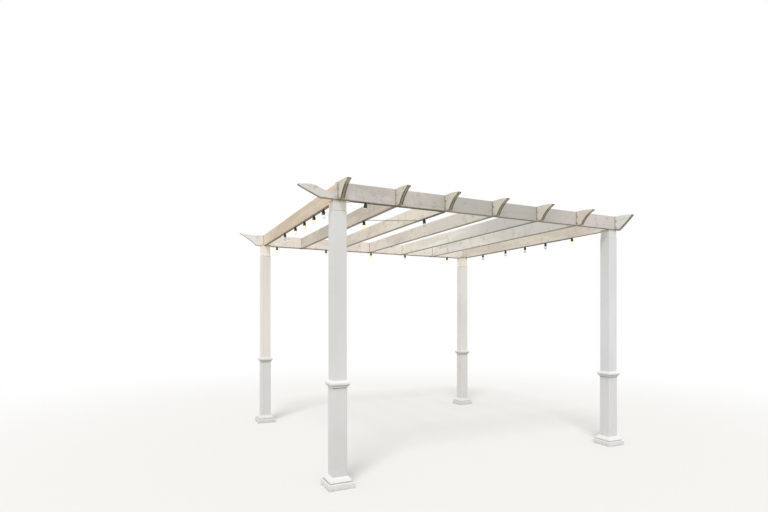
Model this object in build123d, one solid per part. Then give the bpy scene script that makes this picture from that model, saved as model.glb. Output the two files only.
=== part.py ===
"""Free-standing four-post pergola in white vinyl, with an egg-crate top of beams and rafters.

The origin is on the ground at the middle of the four posts. X runs along the two beams, Y runs
along the seven rafters from front to back, and Z is up. All sizes are in millimetres.

Each post is a square sleeve with a slightly wider pedestal sleeve round its lower part, a collar
over the top end of that sleeve, a two-tier skirt on the ground and a neck that plugs into its top.
The two beams stand on the necks. The rafters cross them at the same level, half-lapped: each beam
is slotted from above, each rafter from below, so that undersides and tops are flush. A string of
globe lamps is stapled under the boards and swings round the inner corners of the necks.
"""
from build123d import *
from math import cos, radians, sin, tan
import os

# Plan of the frame, between post centres
post_spacing_x = 3380.0
post_spacing_y = 3000.0
underside_height = 2510.0
fit_clearance = 0.3

# Post sleeve
post_width = 127.0
post_wall = 4.0
post_corner_radius = 4.0

# Pedestal sleeve round the lower part of each post, cut to a height of its own on the front pair
pedestal_wall = 2.7
front_left_pedestal_height = 906.0
front_right_pedestal_height = 826.0
back_pedestal_height = 890.0

# Collar over the top end of the pedestal sleeve, from the bottom up: lip, splayed face, nose and crown
collar_drop = 32.0
collar_rise = 28.0
collar_lip_overhang = 7.0
collar_lip_height = 11.0
collar_overhang = 21.5
collar_nose_low = -6.0
collar_nose_high = 7.0
collar_top_lip = 8.0
collar_crown_bulge = 2.0
collar_splay_hollow = 1.5

# Skirt on the ground: a band with a bevelled top, a groove, and a rounded slope up to the sleeve
skirt_overhang = 51.0
skirt_band_height = 54.0
skirt_bevel = 8.0
skirt_ledge = 9.0
skirt_step_height = 7.0
skirt_height = 98.0
skirt_top_lip = 7.0
skirt_slope_radius = 80.0

# Neck between a post's top end and the boards it carries
neck_width = 121.0
neck_wall = 6.0
neck_top_plate = 12.0
neck_plug_depth = 70.0
neck_plug_corner_radius = 1.0
front_neck_height = 96.0
back_neck_height = 155.0

# Boards of the top
board_height = 152.0
board_thickness = 38.0
board_edge_chamfer = 2.5
rafter_count = 7
lap_share = 0.5

# How far to the right some rafters were set off an even spacing between the posts, by their number
rafter_shift = {3: -33.0, 4: -29.0, 5: -11.0, 7: 51.0}

# Tails, measured outwards from the post centre lines and up from the undersides
tail_nose = 9.0
tail_top_start = 30.0

# Front beam's left tail: a scoop beside the rafter, then a low hump out to the point
front_tail_length = 372.0
front_cut_start = 165.0
front_cut_bulge = -0.005
front_shoulder_place = 50.0
front_shoulder_depth = 66.0
front_scoop_place = 90.0
front_scoop_depth = 84.0
front_hump_place = 235.0
front_hump_drop = 48.0
front_tip_drop = 54.0

# Front beam's right end is sawn off square
front_stub_length = 142.0

# Back beam's tails: a shallow hollow top that sweeps up to the point
back_tail_length = 345.0
back_cut_start = 118.0
back_cut_hollow = 0.05
back_top_hollow = 9.0
back_tip_rise = 10.0

# Rafters' tails: a slightly crowned top out to the point, and a cut that is hollow but for the last front one
rafter_tail_length = 285.0
rafter_cut_start = 128.0
rafter_cut_hollow = 0.09
last_front_cut_hollow = -0.01
rafter_top_crown = 8.0
rafter_tip_drop = 14.0

# Lamp cable, stapled under the boards
cable_diameter = 5.0
cable_sides = 6
cable_gap = 1.0
cable_tight_radius = 26.0
cable_easy_radius = 78.0
cable_sharp_turn = 60.0
cable_fitting_share = 0.45
staple_wire = 1.4
staple_length = 5.0
staple_to_corner = 300.0
staple_to_bay = 150.0

# Sockets: a head that the cable passes through, a tapering body and a bore for the lamp
turned_sides = 8
socket_head_radius = 9.0
socket_head_rise = 4.6
socket_shoulder_drop = 12.0
socket_shoulder_radius = 13.5
socket_rim_radius = 16.0
socket_drop = 40.0
socket_bore_radius = 11.0
socket_bore_depth = 22.0

# Globe lamps
lamp_radius = 19.0
lamp_throat_radius = 13.0
lamp_drop = 42.0
lamp_bands = 3
lamp_shoulder_angle = 60.0
lamp_foot_angle = 160.0
lamp_foot_radius = 3.0

# Lamp places along the boards, from the middle of the frame. The string starts under rafter 2,
# crosses the bay to rafter 3 and follows it to the front beam
end_rafter = 2
end_cable_y = -700.0
end_lamp_y = -776.0
end_staple_y = [-726.0, -812.0]
end_turn_y = -850.0
start_rafter = 3
start_turn_y = -1070.0
start_staple_y = [-1103.0, -1340.0]
start_lamp_y = -1135.0
front_lamp_x = [-1441.0]
left_lamp_y = [-1112.0, -813.0, -477.0, -118.0, 360.0]
back_lamp_x = [-1509.0, -761.0, -13.0, 597.0, 1409.0]
right_lamp_y = [981.0, 417.0, -17.0, -427.0, -898.0]

# Derived sizes
pedestal_bore = post_width + 2 * fit_clearance
pedestal_width = pedestal_bore + 2 * pedestal_wall
collar_bore = post_width + 2 * fit_clearance
collar_lower_bore = pedestal_width + 2 * fit_clearance
skirt_bore = pedestal_width + 2 * fit_clearance
neck_plug_width = post_width - 2 * post_wall - 2 * fit_clearance
beam_offset = (post_width - board_thickness) / 2
rafter_pitch = post_spacing_x / (rafter_count - 1)
front_beam_y = -post_spacing_y / 2 - beam_offset
back_beam_y = post_spacing_y / 2 + beam_offset
lap_height = board_height * lap_share
cable_height = underside_height - cable_gap - socket_head_rise
staple_bore = cable_diameter + 2 * fit_clearance

posts = {
    "front_left": (-1, -1),
    "front_right": (1, -1),
    "back_left": (-1, 1),
    "back_right": (1, 1),
}
pedestal_heights = {
    "front_left": front_left_pedestal_height,
    "front_right": front_right_pedestal_height,
    "back_left": back_pedestal_height,
    "back_right": back_pedestal_height,
}


def post_centre(side_x, side_y):
    """Plan position of one post's centre."""
    return (side_x * post_spacing_x / 2, side_y * post_spacing_y / 2)


def neck_height(side_y):
    """Visible height of the neck: longer on the back pair."""
    return front_neck_height if side_y < 0 else back_neck_height


def square_tube(outer, inner, low, high, radius):
    """Upright square tube with rounded corners between two heights."""
    section = RectangleRounded(outer, outer, radius) - Rectangle(inner, inner)
    return Pos(0, 0, low) * extrude(section, high - low)


def moulding(profile, inner):
    """Sweep a moulding profile round a square, mitred at the corners.

    The profile is a closed face of (distance out from the square, height).
    """
    path = Rectangle(inner, inner).wire()
    section = Plane(origin=(0, -inner / 2, 0), x_dir=(0, -1, 0), z_dir=(-1, 0, 0)) * profile
    return sweep(section, path=path, transition=Transition.RIGHT)


def post(side_y):
    """Full-length hollow post sleeve, from the ground to the joint under its neck."""
    top = underside_height - neck_height(side_y)
    return square_tube(post_width, post_width - 2 * post_wall, 0, top, post_corner_radius)


def pedestal(height):
    """Outer sleeve round the lower part of a post."""
    return square_tube(pedestal_width, pedestal_bore, 0, height, post_corner_radius + pedestal_wall)


def neck(side_y):
    """Closed-top neck: its shoulder sits on the post's end and its plug goes down inside."""
    shoulder = underside_height - neck_height(side_y)
    visible = Pos(0, 0, shoulder) * extrude(
        RectangleRounded(neck_width, neck_width, post_corner_radius), neck_height(side_y))
    plug = Pos(0, 0, shoulder - neck_plug_depth) * extrude(
        RectangleRounded(neck_plug_width, neck_plug_width, neck_plug_corner_radius), neck_plug_depth)
    hollow_width = neck_plug_width - 2 * neck_wall
    hollow_height = neck_plug_depth + neck_height(side_y) - neck_top_plate
    hollow = extrude(Rectangle(hollow_width, hollow_width), hollow_height)
    return visible + plug - Pos(0, 0, shoulder - neck_plug_depth) * hollow


def bulged(start, end, rise):
    """Point halfway between two others, moved out and up by the same amount."""
    return ((start[0] + end[0]) / 2 + rise, (start[1] + end[1]) / 2 + rise)


def collar_profile():
    """Half section of a collar, from its seat on the pedestal's top end at height zero."""
    step = (collar_lower_bore - collar_bore) / 2
    sleeve = (pedestal_width - collar_bore) / 2
    lip_top = (sleeve + collar_lip_overhang, collar_lip_height - collar_drop)
    nose_low = (sleeve + collar_overhang, collar_nose_low)
    nose_high = (sleeve + collar_overhang, collar_nose_high)
    crown_end = (collar_top_lip, collar_rise)
    inside = Polyline((0, collar_rise), (0, 0), (step, 0), (step, -collar_drop))
    lip = Polyline((step, -collar_drop), (lip_top[0], -collar_drop), lip_top)
    splay = ThreePointArc(lip_top, bulged(lip_top, nose_low, collar_splay_hollow), nose_low)
    crown = ThreePointArc(nose_high, bulged(nose_high, crown_end, collar_crown_bulge), crown_end)
    nose = Line(nose_low, nose_high)
    return make_face(Curve() + [inside, lip, splay, nose, crown, Line(crown_end, (0, collar_rise))])


def collar(height):
    """Moulded collar: it stands on the pedestal's top end, hangs down outside it and closes on the post."""
    return Pos(0, 0, height) * moulding(collar_profile(), collar_bore)


def skirt_profile():
    """Half section of the skirt: a band with a bevel, a groove, a small step and a rounded slope."""
    reach = skirt_overhang - fit_clearance
    bevel_top = reach - skirt_bevel
    step = bevel_top - skirt_ledge
    step_top = skirt_band_height + skirt_step_height
    outline = Polyline((0, 0), (reach, 0), (reach, skirt_band_height - skirt_bevel),
                       (bevel_top, skirt_band_height), (step, skirt_band_height), (step, step_top))
    slope_end = (skirt_top_lip, skirt_height)
    slope = RadiusArc((step, step_top), slope_end, -skirt_slope_radius)
    close = Polyline(slope_end, (0, skirt_height), (0, 0))
    return make_face(Curve() + [outline, slope, close])


def skirt():
    """Two-tier moulded skirt round the foot of a pedestal sleeve."""
    return moulding(skirt_profile(), skirt_bore)


def tail_underside(length, cut_start, tip_height, hollow):
    """Slanting cut from the underside to the blunt point, hollowed by a share of its length."""
    tip_low = (length - tail_nose / 2, tip_height - tail_nose)
    run = tip_low[0] - cut_start
    rise = tip_low[1]
    middle = (cut_start + run / 2 - hollow * rise, rise / 2 + hollow * run)
    return [
        ThreePointArc((cut_start, 0), middle, tip_low),
        Line(tip_low, (length, tip_height)),
    ]


def front_beam_tail():
    """Left tail of the front beam: shoulder, scoop, hump and low point."""
    tip = (front_tail_length, board_height - front_tip_drop)
    hump = (front_hump_place, board_height - front_hump_drop)
    scoop = (front_scoop_place, board_height - front_scoop_depth)
    shoulder = (front_shoulder_place, board_height - front_shoulder_depth)
    to_hump = (hump[0] - tip[0], hump[1] - tip[1])
    top = Spline(tip, hump, scoop, shoulder, (tail_top_start, board_height), tangents=[to_hump, (0, 1)])
    return tail_underside(front_tail_length, front_cut_start, tip[1], front_cut_bulge) + [top]


def stub_end():
    """Square-sawn right end of the front beam."""
    return [Line((front_stub_length, 0), (front_stub_length, board_height))]


def arched_tail(length, cut_start, cut_hollow, crown, tip_height):
    """Tail with one arc along its top: a positive crown bulges up and a negative one hollows it."""
    middle = ((tail_top_start + length) / 2, (board_height + tip_height) / 2 + crown)
    top = ThreePointArc((length, tip_height), middle, (tail_top_start, board_height))
    return tail_underside(length, cut_start, tip_height, cut_hollow) + [top]


def back_beam_tail():
    """Tail of the back beam: a top that sweeps up."""
    return arched_tail(back_tail_length, back_cut_start, back_cut_hollow, -back_top_hollow,
                       board_height + back_tip_rise)


def rafter_tail(cut_hollow):
    """Tail of a rafter: a crowned top that drops a little to the point."""
    return arched_tail(rafter_tail_length, rafter_cut_start, cut_hollow, rafter_top_crown,
                       board_height - rafter_tip_drop)


def board(span, left_tail, right_tail):
    """Upright board on its long axis X, with eased long edges and a tail beyond each end of its span."""
    left_low, left_high = left_tail[0] @ 0, left_tail[-1] @ 1
    right_low, right_high = right_tail[0] @ 0, right_tail[-1] @ 1
    left = (Pos(span / 2, 0, 0) * (Curve() + left_tail)).mirror(Plane.YZ)
    right = Pos(span / 2, 0, 0) * (Curve() + right_tail)
    bottom = Line((-span / 2 - left_low.X, 0), (span / 2 + right_low.X, 0))
    top = Line((-span / 2 - left_high.X, board_height), (span / 2 + right_high.X, board_height))
    face = make_face(left.edges() + right.edges() + [top, bottom])
    shape = Pos(0, board_thickness / 2, 0) * extrude(Plane.XZ * face, board_thickness)
    long_edges = shape.edges().filter_by(Axis.X).filter_by(lambda edge: edge.length > span)
    return chamfer(long_edges, board_edge_chamfer)


def lap_slot(height):
    """Slot that lets a crossing board through."""
    width = board_thickness + 2 * fit_clearance
    return Pos(0, 0, height / 2) * Box(width, width, height)


def rafter_places():
    """Position of each rafter along the beams."""
    even = [index * rafter_pitch - post_spacing_x / 2 for index in range(rafter_count)]
    return [x + rafter_shift.get(number, 0.0) for number, x in enumerate(even, start=1)]


def outer_rafter_x(side_x):
    """Position of the outer rafter on one side."""
    return rafter_places()[0 if side_x < 0 else -1]


def beam(left_tail, right_tail, y):
    """Beam along X, slotted from above at each rafter."""
    shape = board(post_spacing_x, left_tail, right_tail)
    slot = lap_slot(board_height - lap_height)
    for x in rafter_places():
        shape -= Pos(x, 0, lap_height) * slot
    return Pos(0, y, underside_height) * shape


def rafter(x, front_hollow):
    """Rafter along Y, slotted from below at both beams."""
    shape = Rot(0, 0, 90) * board(post_spacing_y, rafter_tail(front_hollow), rafter_tail(rafter_cut_hollow))
    slot = lap_slot(lap_height)
    for y in (front_beam_y, back_beam_y):
        shape -= Pos(0, y, 0) * slot
    return Pos(x, 0, underside_height) * shape


def neck_swing(side_x, side_y):
    """Cable points from under a beam round a neck's inner corner to under the outer rafter.

    They are written as distances inwards from the post's centre along X and along Y.
    """
    x, y = post_centre(side_x, side_y)
    to_rafter = (x - outer_rafter_x(side_x)) * side_x
    inward = [(100, -beam_offset), (74, 12), (68, 76), (to_rafter, 152)]
    return [(x - side_x * along_x, y - side_y * along_y) for along_x, along_y in inward]


def cable_route():
    """Plan of the cable: from its end under rafter 2 across the bay to rafter 3, along it and the
    front beam to the left corner, then under the left rafter, the back beam and the right rafter."""
    end_x = rafter_places()[end_rafter - 1]
    start_x = rafter_places()[start_rafter - 1]
    route = [(end_x, end_cable_y), (end_x, end_turn_y), (start_x, start_turn_y), (start_x, front_beam_y)]
    route += neck_swing(-1, -1)
    route += reversed(neck_swing(-1, 1))
    route += neck_swing(1, 1)
    route.append((outer_rafter_x(1), right_lamp_y[-1]))
    return route


def bend_radius(before, corner, after):
    """Arc of one corner of the route: as large as its shorter run allows, up to the limit of its turn."""
    arrive = Vector(*corner) - Vector(*before)
    leave = Vector(*after) - Vector(*corner)
    turn = arrive.get_angle(leave)
    fitting = cable_fitting_share * min(arrive.length, leave.length) / tan(radians(turn / 2))
    return min(fitting, cable_easy_radius if turn < cable_sharp_turn else cable_tight_radius)


def cable():
    """The lamp cable as straight runs joined by tangent arcs, with a section of few sides."""
    route = cable_route()
    radii = [bend_radius(*corner) for corner in zip(route, route[1:], route[2:])]
    path = Pos(0, 0, cable_height) * FilletPolyline(*route, radius=radii)
    section = RegularPolygon(cable_diameter / 2, cable_sides)
    shape = sweep((path ^ 0) * section, path=path)
    share = shape.volume / section.area / path.length
    print("cable radii", [round(radius, 1) for radius in radii])
    print("cable length", round(path.length), "share of volume", round(share, 4))
    return shape


def lamp_places():
    """Plan place of each lamp, with the turn of the cable that passes through its socket."""
    lamps = [(rafter_places()[end_rafter - 1], end_lamp_y, 90)]
    lamps.append((rafter_places()[start_rafter - 1], start_lamp_y, 90))
    lamps += [(x, front_beam_y, 0) for x in front_lamp_x]
    lamps += [(outer_rafter_x(-1), y, 90) for y in left_lamp_y]
    lamps += [(x, back_beam_y, 0) for x in back_lamp_x]
    lamps += [(outer_rafter_x(1), y, 90) for y in right_lamp_y]
    return lamps


def midway(stops):
    """Places halfway between neighbouring stops."""
    return [(low + high) / 2 for low, high in zip(stops, stops[1:])]


def staple_places():
    """Plan place of each staple: midway between lamps and near the corners, with the cable's turn."""
    start_x = rafter_places()[start_rafter - 1]
    near_front = -post_spacing_y / 2 + staple_to_corner
    near_back = post_spacing_y / 2 - staple_to_corner
    staples = [(rafter_places()[end_rafter - 1], y, 90) for y in end_staple_y]
    staples += [(start_x, y, 90) for y in start_staple_y]
    staples += [(x, front_beam_y, 0) for x in midway(front_lamp_x + [start_x - staple_to_bay, start_x])]
    left_stops = [near_front] + midway(left_lamp_y + [near_back]) + [near_back]
    staples += [(outer_rafter_x(-1), y, 90) for y in left_stops]
    staples += [(x, back_beam_y, 0) for x in midway(back_lamp_x)]
    staples += [(outer_rafter_x(1), y, 90) for y in [near_back] + midway(right_lamp_y)]
    return staples


def gather(item, places):
    """Copies of one solid at plan places on the cable's line, as one node."""
    return Compound(children=[Pos(x, y, cable_height) * Rot(0, 0, turn) * item for x, y, turn in places])


def staple():
    """Square wire staple across the cable, with its legs up against the board."""
    half = staple_bore / 2 + staple_wire
    rise = underside_height - cable_height
    outer = Pos(0, 0, (rise - half) / 2) * Box(staple_length, 2 * half, rise + half)
    inner = Pos(0, 0, (rise - staple_bore / 2) / 2) * Box(staple_length, staple_bore, rise + staple_bore / 2)
    return outer - inner


def turned(profile):
    """Upright solid of few sides through sections given as (radius, height)."""
    sections = [Pos(0, 0, height) * RegularPolygon(radius, turned_sides) for radius, height in profile]
    return loft(sections, ruled=True)


def socket():
    """Lamp socket, hung on the cable through its head, with a bore in its lower end."""
    body = turned([(socket_head_radius, socket_head_rise), (socket_head_radius, -cable_diameter),
                   (socket_shoulder_radius, -socket_shoulder_drop), (socket_rim_radius, -socket_drop)])
    bore_top = -socket_drop + socket_bore_depth
    bore = turned([(socket_bore_radius, -socket_drop), (socket_bore_radius, bore_top)])
    side = cable_diameter + 2 * fit_clearance
    passage = Box(2 * socket_shoulder_radius, side, side)
    return body - bore - passage


def lamp():
    """Globe lamp with its base in the socket's bore: the globe narrows to the throat at its rim."""
    base_radius = socket_bore_radius - fit_clearance
    base_top = -socket_drop + socket_bore_depth - fit_clearance
    rim = -socket_drop - fit_clearance
    centre = rim - lamp_drop + lamp_radius
    globe = [(lamp_throat_radius, rim)]
    for band in range(lamp_bands + 1):
        angle = radians(lamp_shoulder_angle + (lamp_foot_angle - lamp_shoulder_angle) * band / lamp_bands)
        globe.append((lamp_radius * sin(angle), centre + lamp_radius * cos(angle)))
    globe.append((lamp_foot_radius, centre - lamp_radius))
    base = turned([(base_radius, rim), (base_radius, base_top)])
    return turned(globe) + base


def build():
    """Every node of the pergola by name."""
    nodes = {
        "front_beam": beam(front_beam_tail(), stub_end(), front_beam_y),
        "back_beam": beam(back_beam_tail(), back_beam_tail(), back_beam_y),
    }
    for number, x in enumerate(rafter_places(), start=1):
        last = number == rafter_count
        nodes["rafter_%d" % number] = rafter(x, last_front_cut_hollow if last else rafter_cut_hollow)
    skirt_shape = skirt()
    for name, (side_x, side_y) in posts.items():
        x, y = post_centre(side_x, side_y)
        place = Pos(x, y, 0)
        height = pedestal_heights[name]
        nodes[name + "_post"] = place * post(side_y)
        nodes[name + "_pedestal"] = place * pedestal(height)
        nodes[name + "_collar"] = place * collar(height)
        nodes[name + "_skirt"] = place * skirt_shape
        nodes[name + "_neck"] = place * neck(side_y)
    nodes["lamp_cable"] = cable()
    nodes["cable_staples"] = gather(staple(), staple_places())
    nodes["lamp_sockets"] = gather(socket(), lamp_places())
    nodes["globe_lamps"] = gather(lamp(), lamp_places())
    return nodes


os.makedirs("parts", exist_ok=True)
for node_name, shape in build().items():
    export_step(shape, "parts/%s.step" % node_name)
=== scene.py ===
"""Looks of a white four-post pergola: satin vinyl posts, weathered painted boards and a lamp string.

Everything is in metres, in the frame of the CAD model: X along the two beams, Y along the rafters
from front to back, Z up from the ground. Tones are written as they show on a screen, 0 to 255.
"""
import bpy
import bmesh
from math import cos, pi, radians, sin, tau
from mathutils import Matrix, Vector


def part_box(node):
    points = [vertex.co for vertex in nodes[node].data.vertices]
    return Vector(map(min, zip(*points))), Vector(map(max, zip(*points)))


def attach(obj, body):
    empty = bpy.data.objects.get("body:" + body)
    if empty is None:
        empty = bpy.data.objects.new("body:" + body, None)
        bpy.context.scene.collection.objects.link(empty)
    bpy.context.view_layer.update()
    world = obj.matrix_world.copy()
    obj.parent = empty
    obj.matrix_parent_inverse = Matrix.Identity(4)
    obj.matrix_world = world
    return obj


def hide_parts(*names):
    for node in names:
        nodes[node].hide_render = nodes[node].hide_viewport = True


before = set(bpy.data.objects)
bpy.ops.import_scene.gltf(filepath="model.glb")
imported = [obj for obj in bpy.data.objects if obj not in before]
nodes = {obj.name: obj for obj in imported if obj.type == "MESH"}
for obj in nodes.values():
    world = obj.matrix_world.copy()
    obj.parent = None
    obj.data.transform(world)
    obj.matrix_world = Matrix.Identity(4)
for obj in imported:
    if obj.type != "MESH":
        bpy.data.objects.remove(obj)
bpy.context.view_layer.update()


def middle(node):
    """Centre of a node's box."""
    low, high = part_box(node)
    return (low + high) / 2


# Places read from the frame
rafter_names = ["rafter_%d" % number for number in range(1, 8)]
rafter_places = [middle(name).x for name in rafter_names]
front_beam_y = middle("front_beam").y
back_beam_y = middle("back_beam").y
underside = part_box("front_beam")[0].z
board_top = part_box("front_beam")[1].z
half_board = (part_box("rafter_4")[1].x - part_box("rafter_4")[0].x) / 2

# Tones of the vinyl: sleeve, pedestal and neck of each post, the collars and skirts, and the necks' joints
# The back posts' warmer, brighter sleeves and necks are partly painted warm light
vinyl_tones_and_painted_light = {
    "front_left": ((228, 227, 224), (226, 225, 223), (228, 223, 215)),
    "front_right": ((232, 232, 231), (230, 230, 229), (234, 232, 228)),
    "back_left": ((238, 232, 225), (227, 225, 222), (253, 247, 234)),
    "back_right": ((238, 235, 229), (230, 228, 224), (250, 242, 228)),
}
trim_tones = {"front": (237, 237, 235), "back": (227, 225, 221)}
dark_joint = (120, 118, 116)
pale_joint = (188, 186, 182)

# The rafters' front tails turn to a tone of their own between two depths behind the beam's front face
tail_turn = [front_beam_y - half_board + depth for depth in (0.034, 0.014)]
white_tail = (*tail_turn, (232, 231, 227))
green_tail = (*tail_turn, (218, 214, 199))
pink_tail = (*tail_turn, (224, 215, 203))

# Tone of each board, and its turns (from, to, tone): between two places along it the paint turns to a tone
board_tones = {
    "front_beam": ((206, 200, 195), [
        (-1.66, -1.74, (222, 219, 215)), (-0.95, -0.35, (189, 186, 179)), (0.55, 1.35, (217, 209, 204)),
    ]),
    "back_beam": ((240, 231, 221), [(-0.3, 0.4, (244, 236, 226)), (-1.72, -1.76, (240, 236, 232))]),
    "rafter_1": ((219, 201, 177), [
        # Rafter 1's peach front end is painted warm lamp light
        (-1.05, -1.42, (240, 204, 166)), (1.05, 1.35, (236, 222, 199)), green_tail,
    ]),
    "rafter_2": ((212, 203, 191), [green_tail]),
    "rafter_3": ((226, 217, 202), [(0.3, -0.6, (246, 238, 223)), green_tail]),
    "rafter_4": ((232, 224, 213), [(0.3, -0.6, (224, 219, 208)), green_tail]),
    "rafter_5": ((246, 242, 229), [(0.2, -0.9, (210, 208, 203)), pink_tail]),
    "rafter_6": ((233, 229, 220), [(0.2, -0.9, (218, 216, 209)), pink_tail]),
    "rafter_7": ((228, 219, 206), [(-1.0, -1.4, (236, 228, 219)), white_tail]),
}
# Painted shade on the boards' undersides, warmer under rafter 1
warm_underside_shade = (178, 152, 118)
grey_underside_shade = (140, 128, 104)

# How far a board's pale, deep and bare shades lie from its tone, and the brightest value that they reach
pale_step = (9, 9, 10)
deep_step = (-9, -10, -12)
bare_step = (-34, -38, -50)
brightest = 250

# Tones of dirt, wear and painted shade on the vinyl
splashed_soil = (168, 157, 136)
rain_film = (196, 196, 188)
collar_painted_shadow = (104, 102, 98)
groove_dust_and_shade = (168, 164, 156)
band_dust = (196, 182, 168)
collar_underside_shade = (178, 176, 168)
ground_soil = (150, 137, 114)
neck_top_darkening = (168, 164, 142)
moss = (124, 121, 94)

# Tones of dirt, wear and painted shade on the boards
drip_dirt = (158, 148, 128)
fresh_flake = (246, 244, 238)
worn_wood = (166, 154, 130)
wet_edge = (136, 124, 98)
joint_dirt_and_shade = (104, 93, 74)
screw_stain = (138, 108, 74)
top_dirt = (166, 161, 146)
sawn_core = (172, 162, 136)
sawn_edge = (110, 101, 82)

# Tones of the lamp string, the steel and the floor
cable_black = (24, 24, 26)
cable_dust = (62, 60, 57)
socket_black = (22, 22, 23)
socket_haze = (52, 50, 47)
lit_glass = (236, 218, 184)
milky_glass = (226, 225, 221)
clear_glass = (250, 250, 248)
lamp_glow = (255, 222, 172)
zinc = (150, 146, 140)
zinc_rust = (121, 96, 71)
floor_seen = (228, 227, 224)
floor_lighting = (188, 187, 184)

# Dirt and painted shade on the vinyl, by height above the ground: from where it begins to where it is full
splash_heights = (0.34, 0.09)
band_heights = (0.056, 0.050)
soil_heights = (0.016, 0.0)
collar_heights = (0.3, 0.4)
groove_low = 0.0535
groove_high = 0.0600
groove_soft = 0.002

# Darkening and moss on the necks, by depth below the boards
darkening_depths = {"front": 0.04, "back": 0.015}
moss_depths = (0.024, 0.004)

# Dark bands in the vinyl, the painted shadow below the collar and the joint at the neck's foot: how far they
# reach below and above an edge, and how soft they are
collar_shadow_band = (0.0055, 0.002, 0.0015)
neck_joint = (0.0008, 0.0026, 0.0010)

# How far down or up a face looks, by the Z of its normal: from where its dirt, painted shade or sawn face
# begins to where it is full
collar_facing = (-0.1, -0.5)
leaning_facing = (-0.08, -0.2)
level_facing = (-0.82, -0.93)
top_facing = (0.5, 0.9)

# Shift of the clouds in a board's paint for each metre of its place, so that the boards differ, and its way
cloud_shift = 10
cloud_way = (1, 1.7, -0.9)

# Depth of the relief in each finish
wave_relief = 0.0035
line_relief = 0.00003
scuff_relief = 0.00008
patch_relief = 0.0025
grain_relief = 0.0011
fibre_relief = 0.0003
jacket_relief = 0.0002
socket_relief = 0.00008
zinc_relief = 0.0001

# Wander of the edge between two tones of a board, at most and as a share of the turn's length
tone_wander = 0.06
wander_share = 0.75

# Wear on the boards: dirt and painted shade beside joints, wet lower edge and sawn core of the tails
joint_band_overlap = 0.001
joint_band_reach = 0.003
joint_band_soft = 0.0016
wet_height = 0.014
core_wander = 0.003
core_edges = (0.003, 0.009)

# Screws in the rafters' left faces and tops, and their rust, from where it begins to where it is full
screw_radius = 0.0045
screw_head = 0.0022
screw_sides = 20
screw_offset = 0.014
screw_heights = (0.022, 0.092)
top_screw_spread = 0.010
rust_edges = (0.016, 0.004)

# Globes: a throat held in the socket's rim, and drawn in at its top to a share of its radius
lamp_radius = 0.019
lamp_drop = 0.042
lamp_sides = 40
lamp_gap = 0.0003
throat_radius = 0.0125
throat_top_share = 0.9
throat_hold = 0.006
throat_length = 0.002
throat_flare = 0.0002

# Bulb of a globe: round from an angle off its top downwards, with a thin wall where the glass is clear
bulb_start = radians(46)
bulb_steps = 16
glass_wall = 0.0008
lit_strength = 0.6

# Sockets, with heights below the cable's line
socket_drop = 0.040
socket_ribs = 20
rib_depth = 0.0011
rib_top = 0.0145
rib_foot = 0.0335

# Runs of lamps: how close to a beam's middle line its lamps hang, and how far out the outer runs lie
beam_reach = 0.02
side_run_x = 1.6

# Limits between lit, unlit and clear lamps along each run
first_lamp_y = -1.0
left_lit_y = 0.2
right_lit_y = -0.7
back_middle_x = 0.2
back_end_x = 1.2

# Light: its colour, the sky's strength, and the sun's strength, width, height above the horizon and turn
white = (1.0, 1.0, 1.0, 1.0)
sky_strength = 0.80
sun_strength = 1.5
sun_width = radians(18)
sun_height = radians(56)
sun_azimuth = radians(-38)

# Floor: half its side, and the distances between which it fades to white
floor_reach = 60
fade_start = 3.5
fade_end = 9.0

# Camera: lens and sensor in millimetres, shift of the lens, place, heading and farthest sight
camera_lens = 23.1
camera_sensor = 36
camera_shift = 0.080
camera_place = (-3.191, -5.598, 1.4845)
camera_heading = radians(-25.5)
camera_sight = 200


def paint(tone):
    """Linear colour that shaders take, from a tone as it shows on a screen."""
    shares = [value / 255 for value in tone]
    linear = [share / 12.92 if share <= 0.04045 else ((share + 0.055) / 1.055) ** 2.4 for share in shares]
    return (*linear, 1.0)


def darker(colour, brightness):
    """A linear colour at a share of its brightness."""
    return tuple(value * brightness for value in colour[:3]) + (1.0,)


def shades(tone):
    """Pale, deep and bare shades round one tone of paint."""
    return [paint([min(value + change, brightest) for value, change in zip(tone, step)])
            for step in (pale_step, deep_step, bare_step)]


class NodeTree:
    """A tree of shader nodes, with short calls that build it."""

    def __init__(self, tree):
        self.tree = tree

    def feed(self, socket, value):
        """Link a socket to another one, or set its value."""
        if isinstance(value, bpy.types.NodeSocket):
            self.tree.links.new(value, socket)
        else:
            socket.default_value = value

    def node(self, kind, inputs, **settings):
        """Add a node with its settings and inputs."""
        made = self.tree.nodes.new("ShaderNode" + kind)
        for name, value in settings.items():
            setattr(made, name, value)
        for socket, value in inputs.items():
            self.feed(made.inputs[socket], value)
        return made

    def maths(self, operation, first, second=0.0):
        """One arithmetic step."""
        return self.node("Math", {0: first, 1: second}, operation=operation).outputs[0]

    def seen(self):
        """One where something is seen, straight, mirrored or through glass, and zero where it only lights."""
        path = self.node("LightPath", {}).outputs
        straight_or_mirrored = self.maths("MAXIMUM", path["Is Camera Ray"], path["Is Glossy Ray"])
        return self.maths("MAXIMUM", straight_or_mirrored, path["Is Transmission Ray"])


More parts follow.
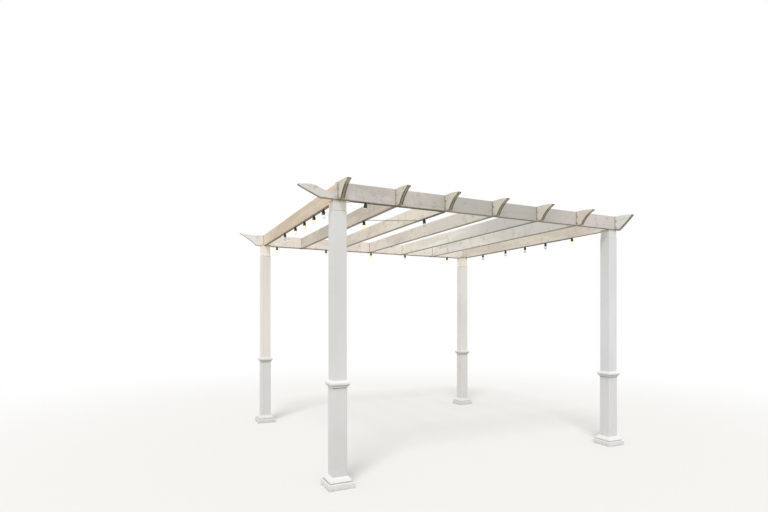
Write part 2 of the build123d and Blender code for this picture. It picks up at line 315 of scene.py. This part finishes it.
class Finish(NodeTree):
    """One procedural material, with calls that shape its colour and relief by place and facing."""

    def __init__(self, name):
        self.material = bpy.data.materials.new(name)
        self.material.use_nodes = True
        super().__init__(self.material.node_tree)
        self.shader = self.tree.nodes["Principled BSDF"]
        self.place = self.node("TexCoord", {}).outputs["Object"]
        self.x, self.y, self.z = self.node("SeparateXYZ", {0: self.place}).outputs
        facing = self.node("NewGeometry", {}).outputs["True Normal"]
        self.facing_z = self.node("SeparateXYZ", {0: facing}).outputs["Z"]

    def times(self, first, *others):
        """Product of several values."""
        for other in others:
            first = self.maths("MULTIPLY", first, other)
        return first

    def share(self, value, start, end, low=0.0, high=1.0):
        """Smooth step of a value from low at start to high at end."""
        inputs = {"Value": value, "From Min": start, "From Max": end, "To Min": low, "To Max": high}
        return self.node("MapRange", inputs, interpolation_type="SMOOTHSTEP").outputs["Result"]

    def band(self, value, start, end, soft):
        """One between start and end, with soft flanks."""
        return self.times(self.share(value, start - soft, start), self.share(value, end + soft, end))

    def joint(self, edge, drop, rise, soft):
        """One along a level joint, from a drop below an edge to a rise above it."""
        return self.band(self.z, edge - drop, edge + rise, soft)

    def apart(self, first, second):
        """Distance in a plane from two offsets."""
        squares = self.maths("ADD", self.times(first, first), self.times(second, second))
        return self.maths("SQRT", squares)

    def off(self, value, place):
        """Distance of a coordinate from a place, whichever side it lies on."""
        return self.maths("ABSOLUTE", self.maths("SUBTRACT", value, place))

    def cloud(self, stretch, detail=3.0, roughness=0.55, twist=0.0, shift=0.0):
        """Noise whose scale along each axis is given per metre."""
        location = [shift * way for way in cloud_way]
        inputs = {"Vector": self.place, "Location": location, "Scale": stretch}
        vector = self.node("Mapping", inputs).outputs[0]
        inputs = {"Vector": vector, "Scale": 1.0, "Detail": detail, "Roughness": roughness,
                  "Distortion": twist}
        return self.node("TexNoise", inputs).outputs["Fac"]

    def mix(self, share, first, second):
        """Blend two colours."""
        return self.node("Mix", {0: share, 6: first, 7: second}, data_type="RGBA").outputs[2]

    def coat(self, body, share, tone, strength=1.0):
        """Cover a colour with a tone, by a share from 0 to 1 times a strength."""
        return self.mix(self.times(share, strength), body, paint(tone))

    def bump(self, height, distance, below=None):
        """Raise the surface by a height from 0 to 1 times a distance in metres."""
        inputs = {"Height": height, "Distance": distance, "Strength": 1.0}
        if below is not None:
            inputs["Normal"] = below
        return self.node("Bump", inputs).outputs["Normal"]

    def set(self, **values):
        """Set or link inputs of the shader, with spaces written as underscores."""
        for name, value in values.items():
            self.feed(self.shader.inputs[name.replace("_", " ")], value)


def vinyl_body(finish, tone, brightness):
    """Base colour and relief that all the vinyl shares: soft waves, fine drawn lines and light scuffs.

    The brightness is that of its shaded parts, as a share of the tone's.
    """
    plain = paint(tone)
    shade = darker(plain, brightness)
    waves = finish.cloud((1.6, 1.6, 0.8), detail=2)
    streaks = finish.cloud((34, 34, 0.5), detail=4)
    lines = finish.cloud((260, 260, 0.8), detail=2)
    scuffs = finish.cloud((9, 9, 30), detail=6, roughness=0.7)
    body = finish.mix(finish.share(waves, 0.35, 0.65), plain, shade)
    body = finish.mix(finish.share(streaks, 0.5, 0.72, high=0.35), body, shade)
    rough = finish.share(finish.maths("ADD", scuffs, streaks), 0.8, 1.25, low=0.3, high=0.46)
    normal = finish.bump(waves, wave_relief)
    normal = finish.bump(lines, line_relief, normal)
    normal = finish.bump(scuffs, scuff_relief, normal)
    return body, rough, normal


def vinyl_sleeve(name, tone, collar_underside):
    """Post and pedestal: white vinyl with rain streaks, splashed soil and a painted shadow below the collar.
    """
    finish = Finish(name)
    body, rough, normal = vinyl_body(finish, tone, brightness=0.92)
    splash = finish.share(finish.cloud((26, 26, 22), detail=8, roughness=0.72), 0.5, 0.72)
    soil = finish.times(splash, finish.share(finish.z, *splash_heights))
    body = finish.coat(body, soil, splashed_soil, strength=0.32)
    film = finish.share(finish.cloud((14, 14, 0.9), detail=5), 0.54, 0.76, high=0.16)
    body = finish.coat(body, film, rain_film)
    # Painted shadow: a dark band on the sleeve just below the collar's underside
    joint = finish.joint(collar_underside, *collar_shadow_band)
    body = finish.coat(body, joint, collar_painted_shadow, strength=0.9)
    finish.set(Base_Color=body, Roughness=rough, Normal=normal, Coat_Weight=0.08)
    return finish.material


def vinyl_trim(name, tone):
    """Collars and skirts: moulded vinyl with dust and painted shade in the groove, painted shade below the
    collars and dirt along the ground.
    """
    finish = Finish(name)
    body, rough, normal = vinyl_body(finish, tone, brightness=0.94)
    dust = finish.cloud((40, 40, 40), detail=8, roughness=0.7)
    # Dust and painted shade darken the skirt's groove
    groove = finish.band(finish.z, groove_low, groove_high, groove_soft)
    groove = finish.times(groove, finish.share(dust, 0.2, 0.6, low=0.4, high=0.8))
    body = finish.coat(body, groove, groove_dust_and_shade)
    band = finish.times(finish.share(finish.z, *band_heights), finish.share(dust, 0.4, 0.7))
    body = finish.coat(body, band, band_dust, strength=0.18)
    # Painted shade: the collars' downward faces are darkened
    below_collar = finish.share(finish.facing_z, *collar_facing)
    shaded_below = finish.times(below_collar, finish.share(finish.z, *collar_heights))
    body = finish.coat(body, shaded_below, collar_underside_shade, strength=0.6)
    soil = finish.times(finish.share(finish.z, *soil_heights), finish.share(dust, 0.3, 0.6))
    body = finish.coat(body, soil, ground_soil, strength=0.6)
    finish.set(Base_Color=body, Roughness=rough, Normal=normal)
    return finish.material


def neck_vinyl(name, tone, darkening_depth, joint, joint_tone):
    """Neck between post and boards: creamier vinyl, darker in patches just under the boards, with a joint at
    its foot.
    """
    finish = Finish(name)
    body, rough, normal = vinyl_body(finish, tone, brightness=0.93)
    # Darker in patches just under the boards
    top_darkening = finish.share(finish.cloud((30, 30, 3), detail=5), 0.3, 0.6)
    top_darkening = finish.times(finish.share(finish.z, underside - darkening_depth, underside), top_darkening)
    body = finish.coat(body, top_darkening, neck_top_darkening, strength=0.55)
    moss_start, moss_full = moss_depths
    growth = finish.share(finish.cloud((60, 60, 36), detail=5), 0.36, 0.54)
    growth = finish.times(finish.share(finish.z, underside - moss_start, underside - moss_full), growth)
    body = finish.coat(body, growth, moss, strength=0.75)
    body = finish.coat(body, finish.joint(joint, *neck_joint), joint_tone)
    finish.set(Base_Color=body, Roughness=rough, Normal=normal)
    return finish.material


def joint_grime_and_shade(finish, run, places):
    """Share of dark dirt and painted shade beside the crossing boards, along both of their faces."""
    lines = None
    for place in places:
        line = finish.band(finish.off(run, place), half_board - joint_band_overlap, half_board + joint_band_reach,
                           joint_band_soft)
        lines = line if lines is None else finish.maths("MAXIMUM", lines, line)
    return lines


def screw_rust(finish, run, height, drips):
    """Share of rust at the height of the screws just outside each beam, on both faces of a rafter."""
    low_screw, high_screw = screw_heights
    from_line = finish.off(finish.maths("ABSOLUTE", run), back_beam_y + half_board + screw_offset)
    from_pair = finish.off(finish.off(height, (low_screw + high_screw) / 2), (high_screw - low_screw) / 2)
    halo = finish.share(finish.apart(from_line, from_pair), *rust_edges)
    return finish.times(halo, finish.share(drips, 0.2, 0.6, low=0.4))


def sawn_tail(finish, offset, grain):
    """Share of a tail's sawn underside, and its colour: a pale core between darker edges."""
    leaning = finish.share(finish.facing_z, *leaning_facing)
    cut = finish.times(leaning, finish.share(finish.facing_z, *reversed(level_facing)))
    wander = finish.share(grain, 0.3, 0.7, low=-core_wander, high=core_wander)
    edges = finish.share(finish.maths("ADD", offset, wander), *core_edges)
    return cut, finish.mix(edges, paint(sawn_core), paint(sawn_edge))


def board_paint(node, tone, turns, underside_shade_tone):
    """Painted board, weathered: grain, drips, worn patches, dirty edges, dirt and painted shade beside the
    joints, painted shade on the underside, and sawn tails.
    """
    finish = Finish(node + "_paint")
    centre = middle(node)
    seed = cloud_shift * (centre.x + centre.y)
    is_beam = node.endswith("beam")
    if is_beam:
        run, across, centre_across, crossings = finish.x, finish.y, centre.y, rafter_places
    else:
        run, across, centre_across, crossings = finish.y, finish.x, centre.x, (front_beam_y, back_beam_y)

    def drawn(lengthways, crossways):
        """Scale of a cloud that is drawn out along the board."""
        return (lengthways, crossways, crossways) if is_beam else (crossways, lengthways, crossways)

    grain = finish.cloud(drawn(1.4, 60), detail=8, roughness=0.68, twist=0.6, shift=seed)
    fibres = finish.cloud(drawn(6, 240), detail=4, shift=seed + 3)
    patches = finish.cloud(drawn(1.5, 7), detail=4, shift=seed + 7)
    blotches = finish.cloud((9, 9, 9), detail=6, roughness=0.65, shift=seed + 11)
    drips = finish.cloud((42, 42, 1.6), detail=4, roughness=0.6, shift=seed + 5)
    flakes = finish.cloud(drawn(13, 34), detail=7, roughness=0.7, twist=0.8, shift=seed + 13)
    height = finish.maths("SUBTRACT", finish.z, underside)

    pale, deep, bare = shades(tone)
    body = finish.mix(finish.share(patches, 0.36, 0.64), pale, deep)
    for start, end, turned_tone in turns:
        reach = min(tone_wander, wander_share * abs(end - start))
        wander = finish.share(blotches, 0.3, 0.7, low=-reach, high=reach)
        turned = finish.share(finish.maths("ADD", run, wander), start, end)
        body = finish.coat(body, turned, turned_tone)
    body = finish.mix(finish.share(grain, 0.52, 0.72, high=0.42), body, bare)
    body = finish.coat(body, finish.share(drips, 0.58, 0.78, high=0.25), drip_dirt)
    body = finish.coat(body, finish.share(flakes, 0.36, 0.3, high=0.5), fresh_flake)
    worn = finish.times(finish.share(blotches, 0.5, 0.66), finish.share(flakes, 0.42, 0.62))
    body = finish.coat(body, worn, worn_wood, strength=0.55)
    wet = finish.times(finish.share(height, wet_height, 0.0), finish.share(drips, 0.3, 0.62))
    body = finish.coat(body, wet, wet_edge, strength=0.6)
    # Dirt and painted shade beside the crossing boards
    grime_and_shade = finish.share(blotches, 0.2, 0.55, low=0.5)
    grime_and_shade = finish.times(joint_grime_and_shade(finish, run, crossings), grime_and_shade)
    body = finish.coat(body, grime_and_shade, joint_dirt_and_shade, strength=0.9)
    if not is_beam:
        body = finish.coat(body, screw_rust(finish, run, height, drips), screw_stain, strength=0.6)
    above = finish.share(blotches, 0.3, 0.7, low=0.2, high=0.6)
    above = finish.times(finish.share(finish.facing_z, *top_facing), above)
    body = finish.coat(body, above, top_dirt)
    # Painted shade: the underside is darkened by its downward facing, in patches
    under_shade = finish.share(blotches, 0.3, 0.7, low=0.6, high=0.95)
    under_shade = finish.times(finish.share(finish.facing_z, *level_facing), under_shade)
    body = finish.coat(body, under_shade, underside_shade_tone)
    cut, sawn = sawn_tail(finish, finish.off(across, centre_across), grain)
    body = finish.mix(cut, body, sawn)

    rough = finish.share(grain, 0.35, 0.7, low=0.52, high=0.78)
    normal = finish.bump(patches, patch_relief)
    normal = finish.bump(grain, grain_relief, normal)
    normal = finish.bump(fibres, fibre_relief, normal)
    finish.set(Base_Color=body, Roughness=rough, Normal=normal)
    return finish.material


def cable_rubber():
    """Black cable jacket, dusty in patches."""
    finish = Finish("black_cable_jacket")
    dust = finish.cloud((60, 60, 60), detail=5)
    body = finish.mix(finish.share(dust, 0.45, 0.7, high=0.5), paint(cable_black), paint(cable_dust))
    rough = finish.share(dust, 0.3, 0.7, low=0.42, high=0.66)
    finish.set(Base_Color=body, Roughness=rough, Normal=finish.bump(dust, jacket_relief))
    return finish.material


def socket_plastic():
    """Black socket plastic with a moulded grain."""
    finish = Finish("black_socket_plastic")
    grain = finish.cloud((900, 900, 900), detail=2)
    haze = finish.cloud((35, 35, 35), detail=4)
    body = finish.mix(finish.share(haze, 0.4, 0.7, high=0.6), paint(socket_black), paint(socket_haze))
    rough = finish.share(haze, 0.3, 0.7, low=0.38, high=0.6)
    finish.set(Base_Color=body, Roughness=rough, Normal=finish.bump(grain, socket_relief))
    return finish.material


def milky_globe(name, tone, strength):
    """Milky globe, lit with a strength or unlit."""
    finish = Finish(name)
    haze = finish.cloud((50, 50, 50), detail=3)
    body = finish.mix(finish.share(haze, 0.35, 0.65), paint(tone), darker(paint(tone), 0.92))
    finish.set(Base_Color=body, Roughness=finish.share(haze, 0.3, 0.7, low=0.1, high=0.2), Coat_Weight=0.4)
    finish.set(Subsurface_Weight=0.4, Subsurface_Radius=(0.02, 0.018, 0.014))
    finish.set(Emission_Color=paint(lamp_glow), Emission_Strength=strength)
    return finish.material


def clear_globe():
    """Clear globe of a lamp that is off, slightly smeared by rain."""
    finish = Finish("clear_globe")
    smear = finish.share(finish.cloud((60, 60, 60), detail=4), 0.4, 0.7, low=0.0, high=0.08)
    finish.set(Base_Color=paint(clear_glass), Roughness=smear, Transmission_Weight=1.0, IOR=1.45)
    return finish.material


def weathered_zinc():
    """Zinc-plated steel of staples and screws, dulled by weather."""
    finish = Finish("weathered_zinc")
    haze = finish.cloud((400, 400, 400), detail=4)
    body = finish.mix(finish.share(haze, 0.45, 0.7, high=0.6), paint(zinc), paint(zinc_rust))
    rough = finish.share(haze, 0.3, 0.7, low=0.4, high=0.6)
    finish.set(Base_Color=body, Roughness=rough, Normal=finish.bump(haze, zinc_relief), Metallic=1.0)
    return finish.material


def dress(node, material):
    """Give a CAD node its finish."""
    mesh = nodes[node].data
    mesh.materials.clear()
    mesh.materials.append(material)


def dress_posts():
    """Finish of the sleeves, pedestals, collars, skirts and necks of the four posts."""
    trims = {side: vinyl_trim(side + "_vinyl_trim", tone) for side, tone in trim_tones.items()}
    for post, (sleeve_tone, pedestal_tone, neck_tone) in vinyl_tones_and_painted_light.items():
        side = post.split("_")[0]
        collar_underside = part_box(post + "_collar")[0].z
        dress(post + "_post", vinyl_sleeve(post + "_vinyl", sleeve_tone, collar_underside))
        dress(post + "_pedestal", vinyl_sleeve(post + "_pedestal_vinyl", pedestal_tone, collar_underside))
        dress(post + "_collar", trims[side])
        dress(post + "_skirt", trims[side])
        post_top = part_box(post + "_post")[1].z
        joint_tone = pale_joint if post == "front_right" else dark_joint
        neck = neck_vinyl(post + "_neck_vinyl", neck_tone, darkening_depths[side], post_top, joint_tone)
        dress(post + "_neck", neck)


def dress_boards():
    """Paint of the beams and the rafters, with painted shade on their undersides."""
    for name, (tone, turns) in board_tones.items():
        underside_shade_tone = warm_underside_shade if name == "rafter_1" else grey_underside_shade
        dress(name, board_paint(name, tone, turns, underside_shade_tone))


def add_turned(mesh, profile, sides, place, ridges=None):
    """Add a shape turned about its own Z axis, from points of (radius, height), to a mesh.

    Ridges are (lowest, highest, depth): between those heights every other line of points is drawn in.
    """
    rings = []
    for radius, height in profile:
        if radius == 0:
            rings.append([mesh.verts.new(place @ Vector((0, 0, height)))])
            continue
        ring = []
        for step in range(sides):
            reach = radius
            if ridges and step % 2 and ridges[0] < height < ridges[1]:
                reach -= ridges[2]
            angle = tau * step / sides
            ring.append(mesh.verts.new(place @ Vector((reach * cos(angle), reach * sin(angle), height))))
        rings.append(ring)
    for upper, lower in zip(rings, rings[1:]):
        if len(upper) == 1 and len(lower) == 1:
            continue
        for step in range(sides):
            after = (step + 1) % sides
            if len(upper) == 1:
                mesh.faces.new((upper[0], lower[step], lower[after]))
            elif len(lower) == 1:
                mesh.faces.new((upper[after], upper[step], lower[0]))
            else:
                mesh.faces.new((upper[after], upper[step], lower[step], lower[after]))


def add_piece(mesh, name, material, replaced=None):
    """Add a mesh as a smooth piece of the pergola, in place of a CAD node where one is named."""
    data = bpy.data.meshes.new(name)
    mesh.to_mesh(data)
    mesh.free()
    for face in data.polygons:
        face.use_smooth = True
    data.materials.append(material)
    piece = bpy.data.objects.new(name, data)
    bpy.context.scene.collection.objects.link(piece)
    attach(piece, "root")
    if replaced:
        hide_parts(replaced)


def solid_centres(node, reach=0.1):
    """Centre of each separate solid of a node, whose points lie in plan within a reach of its first one."""
    groups = []
    for vertex in nodes[node].data.vertices:
        for group in groups:
            if (vertex.co - group[0]).xy.length < reach:
                group.append(vertex.co)
                break
        else:
            groups.append([vertex.co.copy()])
    return [sum(group, Vector()) / len(group) for group in groups]


def globe_profile(rim):
    """Half outline of a globe lamp below its socket's rim: a short throat and a round bulb."""
    centre = rim - lamp_drop + lamp_radius
    points = [
        (throat_top_share * throat_radius, rim + throat_hold), (throat_radius, rim),
        (throat_radius + throat_flare, rim - throat_length),
    ]
    for step in range(bulb_steps):
        angle = bulb_start + (pi - bulb_start) * step / bulb_steps
        points.append((lamp_radius * sin(angle), centre + lamp_radius * cos(angle)))
    return points + [(0, centre - lamp_radius)]


def shell_profile(rim):
    """Half outline of a clear globe's thin wall, down the outside and back up the inside."""
    outside = globe_profile(rim)
    inside = [(max(radius - glass_wall, 0), height + glass_wall) for radius, height in outside[1:-1]]
    bottom = (0, outside[-1][1] + glass_wall)
    return outside + [bottom] + inside[::-1]


def socket_profile(cable):
    """Half outline of a socket round the cable: head, shoulder, ribbed skirt and rim."""
    drops = [
        (0, -0.0046), (0.0082, -0.0046), (0.0100, -0.0036), (0.0104, -0.0018), (0.0104, 0.0040),
        (0.0118, 0.0060), (0.0140, 0.0084), (0.0148, 0.0105), (0.0150, 0.0125), (0.0150, 0.0142),
        (0.0156, 0.0330), (0.0160, 0.0345), (0.0160, 0.0392), (0.0153, socket_drop), (0.0126, socket_drop),
        (0.0122, 0.0380), (0.0120, 0.0320), (0, 0.0320),
    ]
    return [(radius, cable - drop) for radius, drop in drops]


def lamp_state(place):
    """Whether a lamp is lit, milky but off, or clear."""
    if abs(place.y - front_beam_y) < beam_reach:
        return "clear"
    if place.x > side_run_x:
        return "lit" if place.y < right_lit_y else "unlit"
    if place.x < -side_run_x:
        if place.y < first_lamp_y:
            return "clear"
        return "lit" if place.y < left_lit_y else "unlit"
    if abs(place.y - back_beam_y) < beam_reach:
        return "lit" if abs(place.x) < back_middle_x or abs(place.x) > back_end_x else "clear"
    return "unlit" if place.y < first_lamp_y else "lit"


def lamp_string():
    """Sockets and globes in fine meshes, where the CAD nodes have them."""
    plastic = socket_plastic()
    glass = {
        "lit": milky_globe("lit_globe", lit_glass, lit_strength),
        "unlit": milky_globe("unlit_globe", milky_glass, 0.0),
        "clear": clear_globe(),
    }
    cable = middle("lamp_cable").z
    rim = cable - socket_drop - lamp_gap
    ridges = (cable - rib_foot, cable - rib_top, rib_depth)
    for number, centre in enumerate(solid_centres("globe_lamps"), start=1):
        place = Matrix.Translation((centre.x, centre.y, 0))
        state = lamp_state(centre)
        globe = bmesh.new()
        add_turned(globe, shell_profile(rim) if state == "clear" else globe_profile(rim), lamp_sides, place)
        add_piece(globe, "globe_%02d" % number, glass[state], "globe_lamps")
        socket = bmesh.new()
        add_turned(socket, socket_profile(cable), 2 * socket_ribs, place, ridges)
        add_piece(socket, "socket_%02d" % number, plastic, "lamp_sockets")


def screw_profile():
    """Half outline of a screw's pan head with a recess in its middle."""
    shares = [(0, 0.35), (0.34, 0.45), (0.40, 0.98), (0.72, 0.9), (0.95, 0.5), (1, 0), (0.9, -1)]
    return [(screw_radius * across, screw_head * up) for across, up in shares]


def crossing_screws(material):
    """Screws of each rafter: two in its left face just outside each beam and two in its top over it."""
    facing_left = Matrix.Rotation(radians(-90), 4, "Y")
    for name, x in zip(rafter_names, rafter_places):
        mesh = bmesh.new()
        for beam_y, outward in ((front_beam_y, -1), (back_beam_y, 1)):
            y = beam_y + outward * (half_board + screw_offset)
            for height in screw_heights:
                seat = Matrix.Translation((x - half_board, y, underside + height))
                add_turned(mesh, screw_profile(), screw_sides, seat @ facing_left)
            for side in (-1, 1):
                seat = Vector((x + side * top_screw_spread / 2, beam_y + side * top_screw_spread, board_top))
                add_turned(mesh, screw_profile(), screw_sides, Matrix.Translation(seat))
        add_piece(mesh, name + "_screws", material)


def pale_floor():
    """Pale floor that fades to white round the pergola, where it is seen."""
    data = bpy.data.meshes.new("floor")
    corners = [(x * floor_reach, y * floor_reach, 0) for x, y in ((-1, -1), (1, -1), (1, 1), (-1, 1))]
    data.from_pydata(corners, [], [(0, 1, 2, 3)])
    floor = bpy.data.objects.new("floor", data)
    bpy.context.scene.collection.objects.link(floor)
    finish = Finish("pale_floor")
    seen = finish.seen()
    tone = finish.mix(seen, paint(floor_lighting), paint(floor_seen))
    finish.set(Base_Color=tone, Roughness=0.9, Specular_IOR_Level=0.2)
    distance = finish.node("VectorMath", {0: finish.place}, operation="LENGTH").outputs["Value"]
    far = finish.times(finish.share(distance, fade_start, fade_end), seen)
    glow = finish.node("Emission", {"Color": white, "Strength": 1.0}).outputs[0]
    blend = finish.node("MixShader", {0: far, 1: finish.shader.outputs[0], 2: glow})
    finish.feed(finish.tree.nodes["Material Output"].inputs["Surface"], blend.outputs[0])
    data.materials.append(finish.material)


def soft_sky():
    """World that lights evenly and is seen as plain white."""
    world = bpy.data.worlds.new("studio")
    world.use_nodes = True
    made = NodeTree(world.node_tree)
    sky = world.node_tree.nodes["Background"]
    made.feed(sky.inputs["Color"], white)
    made.feed(sky.inputs["Strength"], sky_strength)
    backdrop = made.node("Background", {"Color": white, "Strength": 1.0})
    blend = made.node("MixShader", {0: made.seen(), 1: sky.outputs[0], 2: backdrop.outputs[0]})
    made.feed(world.node_tree.nodes["World Output"].inputs["Surface"], blend.outputs[0])
    bpy.context.scene.world = world


def sun():
    """One broad sun that gives soft shadows."""
    data = bpy.data.lights.new("sun", "SUN")
    data.energy = sun_strength
    data.angle = sun_width
    lamp = bpy.data.objects.new("sun", data)
    lamp.rotation_euler = (radians(90) - sun_height, 0, sun_azimuth)
    bpy.context.scene.collection.objects.link(lamp)


def camera():
    """Camera at the photograph's place and lens."""
    data = bpy.data.cameras.new("camera")
    data.lens = camera_lens
    data.sensor_width = camera_sensor
    data.shift_y = camera_shift
    data.clip_end = camera_sight
    eye = bpy.data.objects.new("camera", data)
    eye.location = camera_place
    eye.rotation_euler = (radians(90), 0, camera_heading)
    bpy.context.scene.collection.objects.link(eye)
    bpy.context.scene.camera = eye
    bpy.context.scene.view_settings.view_transform = "Standard"


camera()
pale_floor()
soft_sky()
sun()

dress_posts()
dress_boards()
dress("lamp_cable", cable_rubber())
steel = weathered_zinc()
dress("cable_staples", steel)
crossing_screws(steel)
lamp_string()
